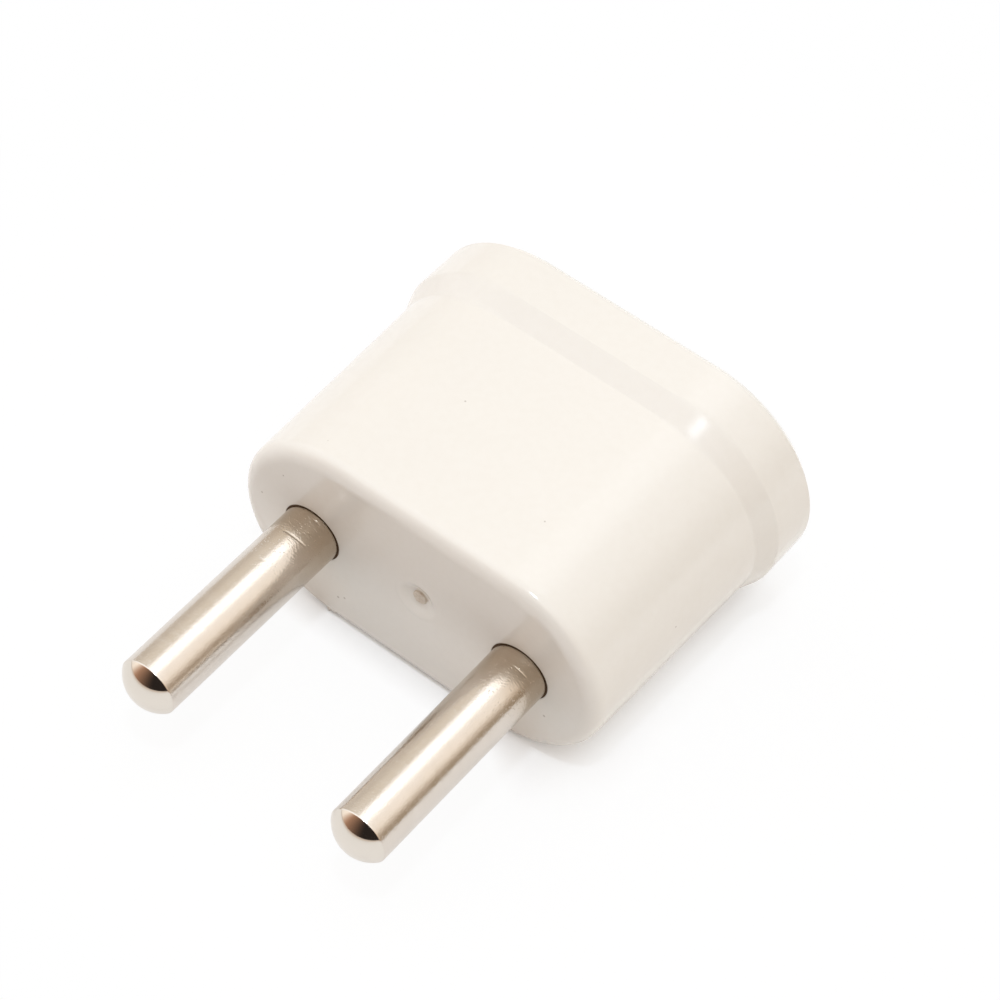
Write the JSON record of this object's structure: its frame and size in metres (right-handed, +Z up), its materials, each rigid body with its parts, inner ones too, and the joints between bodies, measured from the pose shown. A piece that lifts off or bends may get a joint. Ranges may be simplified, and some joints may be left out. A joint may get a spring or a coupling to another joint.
{
  "type": "travel adapter",
  "caption": "Ivory travel adapter with a flat round-ended body, a raised collar, round plug pins at one end and flat-blade slots in a snap-in cover at the other.",
  "frame": {"origin": "middle of the flat pin face, on the mid-plane between the pins", "axes": "+X across the pins, +Y from the pin face to the socket end, +Z up through the thickness; it lies on its broad flat side"},
  "size_m": [0.0346, 0.0439, 0.0194],
  "materials": {
    "ivory_abs": "semi-gloss moulded",
    "nickel_plated_brass": "bright nickel plate on turned brass",
    "spring_bronze": "rolled strip"
  },
  "bodies": {
    "root": {"housing": "ivory_abs", "socket_cover": "ivory_abs", "left_pin": "nickel_plated_brass", "right_pin": "nickel_plated_brass", "left_contact": "spring_bronze", "right_contact": "spring_bronze"}
  },
  "joints": []
}
